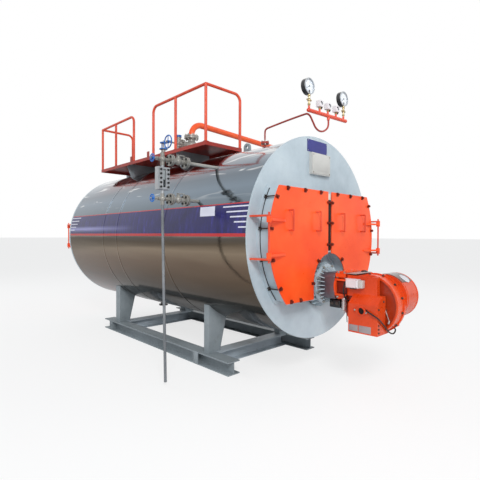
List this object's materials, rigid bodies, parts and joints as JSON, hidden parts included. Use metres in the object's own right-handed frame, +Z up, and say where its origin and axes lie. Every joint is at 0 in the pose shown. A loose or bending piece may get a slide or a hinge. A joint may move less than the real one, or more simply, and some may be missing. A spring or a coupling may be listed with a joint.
{
  "type": "industrial boiler",
  "caption": "Horizontal fire-tube steam boiler on a steel skid with hinged smokebox doors, gas burner, guarded roof platform, level gauge and crown valves.",
  "frame": {"origin": "centre of the front cross beam's underside, at floor level, on the boiler's centre plane", "axes": "+Z up; +Y from the firing front with its burner towards the rear; +X to the right as seen from the front"},
  "size_m": [3.4917, 5.3679, 3.27],
  "materials": {
    "black_steel": "matt",
    "tube_steel": "sooty",
    "front_grey": "satin",
    "cladding": "polished",
    "orange_paint": "gloss",
    "red_paint": "satin",
    "lining": "fibrous",
    "bright_steel": "satin",
    "blue_paint": "gloss",
    "skid_grey": "satin",
    "valve_grey": "as cast",
    "gauge_black": "gloss",
    "switch_white": "gloss"
  },
  "bodies": {
    "boiler": {"drum": "black_steel", "tube_plate": "tube_steel", "furnace_mouth": "black_steel", "front_plate": "front_grey", "smokebox_collar": "front_grey", "cladding_front": "cladding", "cladding_forward": "cladding", "cladding_middle": "cladding", "cladding_rear": "cladding", "rear_plate": "front_grey", "rear_collar": "front_grey", "rear_doors": "orange_paint", "flue_outlet": "front_grey", "hinge_bracket_left": "orange_paint", "hinge_bracket_right": "orange_paint", "nameplate": "bright_steel", "sign_plate": "blue_paint", "skid_beam_left": "skid_grey", "skid_beam_right": "skid_grey", "cross_beams": "skid_grey", "front_legs": "skid_grey", "rear_legs": "skid_grey", "platform_deck": "red_paint", "platform_brackets": "skid_grey", "guard_rail_rear": "red_paint", "guard_rail_front": "red_paint", "steam_valve": "valve_grey", "steam_pipe": "orange_paint", "safety_valve": "valve_grey", "vent_valve": "valve_grey", "handwheels": "blue_paint", "lifting_eyes": "skid_grey", "level_branches": "valve_grey", "level_gauge": "bright_steel", "level_drain": "bright_steel", "gauge_pipe": "red_paint", "gauge_header": "red_paint", "pressure_gauges": "gauge_black", "pressure_switches": "switch_white", "burner_neck": "front_grey", "burner_head": "orange_paint", "burner_housing": "orange_paint", "burner_scroll": "orange_paint", "burner_motor": "orange_paint", "burner_servo": "switch_white", "gas_valve": "black_steel", "blowdown_pipe": "black_steel"},
    "front_door_left": {"front_door_left": "orange_paint", "door_lining_left": "lining", "door_handles_left": "orange_paint", "door_clamps_left": "orange_paint"},
    "front_door_right": {"front_door_right": "orange_paint", "door_lining_right": "lining", "door_handles_right": "orange_paint", "door_clamps_right": "orange_paint"}
  },
  "joints": [
    {"name": "front_door_left_hinge", "type": "hinge", "parent": "boiler", "child": "front_door_left", "pos_m": [-0.968, -1.175, 1.438], "axis": [0, 0, -1], "range_deg": [0, 120]},
    {"name": "front_door_right_hinge", "type": "hinge", "parent": "boiler", "child": "front_door_right", "pos_m": [0.968, -1.175, 1.438], "axis": [0, 0, 1], "range_deg": [0, 120]}
  ]
}
